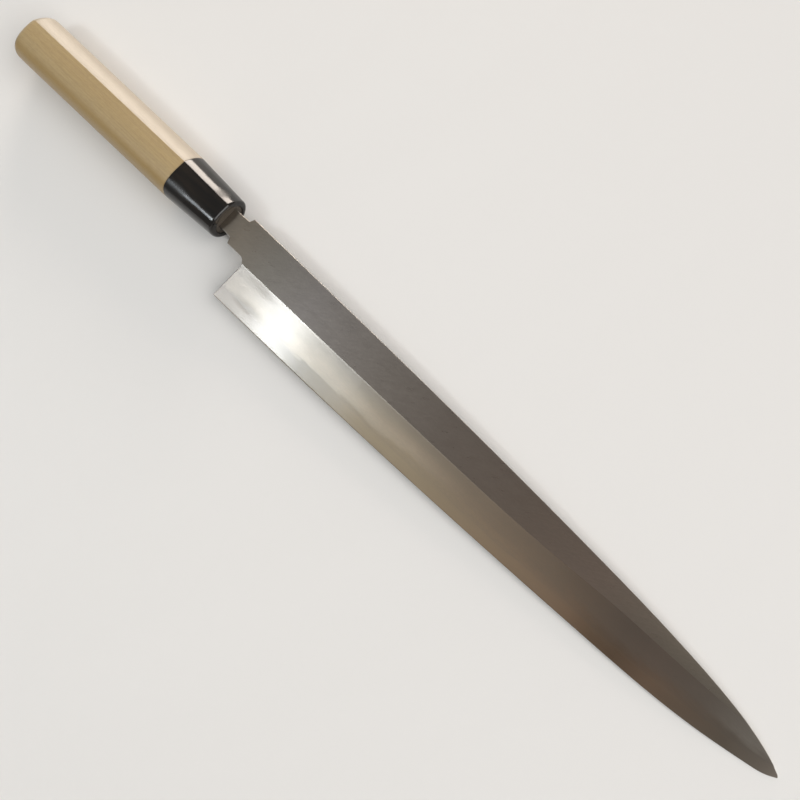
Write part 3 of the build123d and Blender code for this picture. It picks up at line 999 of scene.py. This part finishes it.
# The sweep: stations give x, share of the section, how far it is drawn in and which
# shape it has there (0 the D section, 1 the tenon's oval, 2 the tang's slot)
def makeSweepTree():
    tree = bpy.data.node_groups.new("sectionSweep", "GeometryNodeTree")
    sizes = ("Rear X", "Front X", "Rear Height", "Rear Width", "Front Height", "Front Width", "Tenon Height",
             "Tenon Width", "Slot Rear X", "Slot Front X", "Slot Rear Height", "Slot Rear Width",
             "Slot Front Height", "Slot Front Width", "Slot Middle", "Crease Angle")
    inputs = (("Stations", "Geometry"), ("Section", "Object"), ("Material", "Material"),
              *((title, "Float") for title in sizes), ("Origin", "Vector"))
    for title, kind in inputs:
        tree.interface.new_socket(title, in_out="INPUT", socket_type="NodeSocket" + kind)
    tree.interface.new_socket("Mesh", in_out="OUTPUT", socket_type="NodeSocketGeometry")
    given = put(tree, "NodeGroupInput").outputs

    def countPoints(geometry):
        return put(tree, "GeometryNodeAttributeDomainSize", {0: geometry}).outputs["Point Count"]

    def wholeMath(operation, first, second):
        return put(tree, "FunctionNodeIntegerMath", {0: first, 1: second}, operation=operation).outputs[0]

    def sampled(value, geometry, place, kind="FLOAT"):
        return put(tree, "GeometryNodeSampleIndex", {"Geometry": geometry, "Value": value, "Index": place},
                   data_type=kind, domain="POINT").outputs[0]

    def named(title):
        return put(tree, "GeometryNodeInputNamedAttribute", {"Name": title}, data_type="FLOAT").outputs[0]

    loop = put(tree, "GeometryNodeObjectInfo",
               {"Object": given["Section"], "As Instance": False}).outputs["Geometry"]
    loopCount = countPoints(loop)
    wide = wholeMath("ADD", loopCount, 1)
    mesh = put(tree, "GeometryNodeMeshGrid",
               {"Vertices X": countPoints(given["Stations"]), "Vertices Y": wide}).outputs["Mesh"]
    index = put(tree, "GeometryNodeInputIndex").outputs[0]
    row = wholeMath("DIVIDE_FLOOR", index, wide)
    column = wholeMath("MODULO", wholeMath("MODULO", index, wide), loopCount)
    part = split(sampled(put(tree, "GeometryNodeInputPosition").outputs[0], loop, column, "FLOAT_VECTOR"))
    x, share, drawn, shape, worn = (sampled(named(title), given["Stations"], row)
                                    for title in ("x", "share", "drawn", "shape", "worn"))

    def size(axis, kind):
        ends = ("Slot Rear X", "Slot Front X") if kind else ("Rear X", "Front X")
        full = remap(x, given[ends[0]], given[ends[1]], given[kind + "Rear " + axis],
                     given[kind + "Front " + axis], clamp=False)
        return minus(full, times(drawn, 2.0))

    angle = compute("ARCTAN2", part[2], part[1])
    toOval, toSlot = clamped(shape, 0.0, 1.0), clamped(minus(shape, 1.0), 0.0, 1.0)
    shapes = []
    for k, (axis, wave) in enumerate((("Height", "COSINE"), ("Width", "SINE"))):
        rubbedAndSheen = blendValue(worn, part[k + 1], sampled(named("worn" + axis), loop, column))
        section = times(rubbedAndSheen, size(axis, ""))
        around = compute(wave, angle)
        oval = times(around, minus(times(given["Tenon " + axis], 0.5), drawn))
        slot = times(clamped(times(around, math.sqrt(2)), -1.0, 1.0), times(size(axis, "Slot "), 0.5))
        if axis == "Height":
            slot = plus(slot, given["Slot Middle"])
        shapes.append(times(blendValue(toSlot, blendValue(toOval, section, oval), slot), share))
    point = put(tree, "ShaderNodeCombineXYZ", {0: x, 1: shapes[0], 2: shapes[1]}).outputs[0]
    forward = split(put(tree, "GeometryNodeInputNormal").outputs[0])[0]
    bend = put(tree, "GeometryNodeInputMeshEdgeAngle").outputs["Unsigned Angle"]
    crease = put(tree, "FunctionNodeCompare", {0: bend, 1: given["Crease Angle"]}, data_type="FLOAT",
                 operation="GREATER_THAN").outputs[0]
    for kind, values, settings in (
            ("SetPosition", {"Position": vector("ADD", point, given["Origin"])}, {}),
            ("MergeByDistance", {"Distance": mergeGap}, {}),
            ("StoreNamedAttribute", {"Name": "endGrain", "Value": forward},
             {"data_type": "FLOAT", "domain": "POINT"}),
            ("SetShadeSmooth", {"Shade Smooth": True}, {"domain": "FACE"}),
            ("SetShadeSmooth", {"Selection": crease, "Shade Smooth": False}, {"domain": "EDGE"}),
            ("RealizeInstances", {}, {}),
            ("SetMaterial", {"Material": given["Material"]}, {})):
        mesh = put(tree, "GeometryNode" + kind, {"Geometry": mesh, **values}, **settings).outputs[0]
    put(tree, "NodeGroupOutput", {0: mesh})
    return tree


# runs the sweep for one piece between two x and keeps the plain mesh
def sweepPiece(name, stations, rearX, frontX, rear, front, material):
    h = handle
    sizes = {"Rear X": rearX, "Front X": frontX, "Slot Rear X": h["slotEnd"], "Slot Front X": 0.0,
             "Slot Middle": h["slotMiddle"]}
    for title, pair in (("Rear", rear), ("Front", front), ("Tenon", h["tenon"]), ("Slot Rear", h["slotRear"]),
                        ("Slot Front", h["slotFront"])):
        sizes[title + " Height"], sizes[title + " Width"] = pair
    x, share, drawn, shape = (np.array(values, np.float32) for values in zip(*stations))
    worn = np.clip(1 - (x - h["butt"]) / h["wornLength"], 0, 1)
    piece = pointsObject(name, [(float(value) * mm, 0, 0) for value in x], {
        "x": x * mm, "share": share, "drawn": drawn * mm, "shape": shape, "worn": worn * worn * (3 - 2 * worn)})
    modifier = piece.modifiers.new("sweep", "NODES")
    modifier.node_group = sweepTree
    sockets = {item.name: item.identifier for item in sweepTree.interface.items_tree if item.in_out == "INPUT"}
    values = {"Section": sectionHelper, "Material": material, "Origin": tuple(shoulder),
              "Crease Angle": math.radians(40), **{title: float(value) * mm for title, value in sizes.items()}}
    for title, value in values.items():
        modifier[sockets[title]] = value
    graph = bpy.context.evaluated_depsgraph_get()
    mesh = bpy.data.meshes.new_from_object(piece.evaluated_get(graph), preserve_all_data_layers=True,
                                           depsgraph=graph)
    piece.modifiers.clear()
    piece.data = mesh
    mesh.name = name
    check = bmesh.new()
    check.from_mesh(mesh)
    if check.calc_volume(signed=True) < 0:
        bmesh.ops.reverse_faces(check, faces=check.faces)
        check.to_mesh(mesh)
    print(name, "faces", len(mesh.polygons), "odd edges", oddEdges(check))
    check.free()
    return piece


# Stations: x, share of the section, how far drawn in, shape
def handleStations():
    h = handle
    soft, face, edge = h["jointSoft"], h["front"] - h["tenonRecess"], h["tenonRound"]
    stations = [(h["butt"], 0, 0, 0)]
    for deg in (1, 2.5, 4.5, 7, 10, 14, 18, 23, 28, 34, 40, 46, 52, 58, 64, 70, 76, 82, 87):
        angle = math.radians(deg)
        reach = h["domeLength"] * (1 - math.cos(angle) ** (2 / h["domePower"]))
        stations.append((h["butt"] + reach, math.sin(angle) ** (2 / h["domePower"]), 0, 0))
    stations += [(x, 1, 0, 0) for x in np.linspace(h["butt"] + h["domeLength"], h["joint"] - soft - 0.3, 22)]
    stations += [(h["joint"] - soft, 1, 0, 0), (h["joint"] - 0.3 * soft, 1, 0.3 * soft, 0),
                 (h["joint"], 1, soft, 0), (h["joint"], 1, 0, 1), (face - edge, 1, 0, 1), (face, 1, edge, 1),
                 (face, 1, 0, 2), (h["slotEnd"], 1, 0, 2), (h["slotEnd"], 0, 0, 2)]
    return stations


def ferruleStations():
    h = handle
    soft, rounding, gap, front = h["jointSoft"], h["hornRound"], h["tenonGap"], h["front"]
    stations = [(h["joint"], 1, soft, 0), (h["joint"] + 0.3 * soft, 1, 0.3 * soft, 0),
                (h["joint"] + soft, 1, 0, 0)]
    stations += [(x, 1, 0, 0) for x in np.linspace(h["joint"] + soft + 0.3, front - rounding - 0.2, 9)]
    for deg in (0, 12, 24, 36, 48, 60, 72, 82, 90):
        angle = math.radians(deg)
        stations.append((front - rounding * (1 - math.sin(angle)), 1, rounding * (1 - math.cos(angle)), 0))
    stations += [(front, 1, -gap - 0.2, 1), (front - 0.06, 1, -gap - 0.06, 1), (front - 0.2, 1, -gap, 1),
                 (h["joint"], 1, -gap, 1), (h["joint"], 1, soft, 0)]
    return stations


sweepTree = makeSweepTree()
loopShares, wornShares = sectionLoop(dSection)
sectionHelper = pointsObject("dSection", [(0, y, z) for y, z in loopShares],
                             {"wornHeight": wornShares[:, 0], "wornWidth": wornShares[:, 1]}, closed=True)
woodPiece = sweepPiece("woodHandle", handleStations(), handle["butt"], handle["joint"], handle["buttSize"],
                       handle["jointSize"], magnoliaWood)
hornPiece = sweepPiece("hornFerrule", ferruleStations(), handle["joint"], handle["front"], handle["jointSize"],
                       handle["frontSize"], blackHorn)
bpy.data.objects.remove(sectionHelper)
print("handle built")

# Pale table. It is tipped as the knife rests: on the joint of wood and horn and on the tip.
floorLook = {
    "size": 24.0,
    "colour": (0.84, 0.83, 0.815, 1),
    "cloudy": (0.7, 0.69, 0.67, 1),
    "roughness": 0.75,
    "drop": 0.00005,
}


def makeFloor(look):
    rear = Vector((shoulder.x + handle["joint"] * mm, 0, shoulder.z - handle["jointSize"][1] / 2 * mm))
    tip = Vector((steelBox[1].x, 0, steelBox[0].z))
    slope = (tip.z - rear.z) / (tip.x - rear.x)
    build = bmesh.new()
    bmesh.ops.create_circle(build, cap_ends=True, segments=96, radius=look["size"])
    for vert in build.verts:
        vert.co.z = rear.z + slope * (vert.co.x - rear.x) - look["drop"]
    mesh = bpy.data.meshes.new("paleTable")
    build.to_mesh(mesh)
    build.free()
    material, tree, shader, place = newMaterial("paleTable")
    colour = blendColour(remap(noise(place, 3.0, 2.0), 0.3, 0.7, 0, 0.03), look["colour"], look["cloudy"])
    fill(shader, {"Base Color": colour, "Roughness": look["roughness"], "Specular IOR Level": 0.25})
    # seen from below, the table lets the eye through
    below = put(tree, "ShaderNodeNewGeometry").outputs["Backfacing"]
    eye = put(tree, "ShaderNodeLightPath").outputs["Is Camera Ray"]
    clear = put(tree, "ShaderNodeBsdfTransparent").outputs[0]
    mix = put(tree, "ShaderNodeMixShader", {0: times(below, eye), 1: shader.outputs[0], 2: clear}).outputs[0]
    fill(tree.nodes["Material Output"], {"Surface": mix})
    addPiece("paleTable", mesh, material)


makeFloor(floorLook)

studio = {
    "world": (0.90, 0.88, 0.85, 1),
    "worldStrength": 0.30,
    # place, aim, which way its height points, width, height (m), watts, colour, spread (degrees)
    "boxes": {
        "bevelCore": ((-0.302, -0.246, 0.492), (-0.032, -0.012, 0.01), (0, 1, 0), 0.035, 0.08, 0.24,
                      (0.94, 0.98, 1.0), 180),
        "bevelHalo": ((-0.311, -0.254, 0.508), (-0.032, -0.012, 0.01), (0, 1, 0), 0.16, 0.10, 0.30,
                      (0.83, 0.93, 1.0), 180),
        "bevelTail": ((-0.19, -0.27, 0.62), (0.05, -0.012, 0.01), (0, 1, 0), 0.36, 0.20, 0.15,
                      (1.0, 0.93, 0.80), 180),
        "sideBox": ((-0.70, 0.90, 0.19), (-0.12, 0.01, 0.015), (0, 0, 1), 0.52, 0.37, 1.60,
                    (1.0, 0.89, 0.79), 80),
        "topBox": ((1.45, 0.40, 1.40), (0.0, 0.0, 0.0), (0, 0, 1), 2.2, 2.0, 39.0, (1.0, 0.985, 0.97), 180),
    },
}


def lookAt(place, aim, up):
    back = (place - aim).normalized()
    right = up.cross(back).normalized()
    facing = Matrix((right, back.cross(right), back)).transposed().to_4x4()
    return Matrix.Translation(place) @ facing


def makeStudio(s):
    world = bpy.data.worlds.new("studio")
    bpy.context.scene.world = world
    world.use_nodes = True
    fill(world.node_tree.nodes["Background"], {"Color": s["world"], "Strength": s["worldStrength"]})
    for name, (place, aim, up, wide, high, watts, colour, spread) in s["boxes"].items():
        lamp = bpy.data.lights.new(name, "AREA")
        lamp.shape, lamp.size, lamp.size_y = "RECTANGLE", wide, high
        lamp.energy, lamp.color, lamp.spread = watts, colour, math.radians(spread)
        box = bpy.data.objects.new(name, lamp)
        collection.objects.link(box)
        box.matrix_world = lookAt(Vector(place), Vector(aim), Vector(up))


makeStudio(studio)

view = {
    # both seen from the blade's shoulder
    "eye": (0.33806, -0.01010, 0.58542),
    "target": (0.10158, -0.00528, 0.0),
    "up": (-0.63972, 0.72171, 0.26435),
    "sensor": 36,  # mm
    "focalShare": 2.02,  # focal length over the picture's width
    "clip": (0.05, 60),
}


def makeCamera(v):
    data = bpy.data.cameras.new("camera")
    data.sensor_width, data.lens = v["sensor"], v["sensor"] * v["focalShare"]
    data.clip_start, data.clip_end = v["clip"]
    camera = bpy.data.objects.new("camera", data)
    collection.objects.link(camera)
    camera.matrix_world = lookAt(shoulder + Vector(v["eye"]), shoulder + Vector(v["target"]), Vector(v["up"]))
    bpy.context.scene.camera = camera


makeCamera(view)
bpy.context.scene.view_settings.view_transform = "Standard"
print("stage built")

for piece, node, slot in ((woodPiece, "handle_wood", "magnolia_wood"),
                          (hornPiece, "horn_ferrule", "black_horn"),
                          (claddingPiece, "blade_cladding", "soft_iron"),
                          (steelPiece, "edge_steel", "hard_steel")):
    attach(piece, "root")
    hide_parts(node)
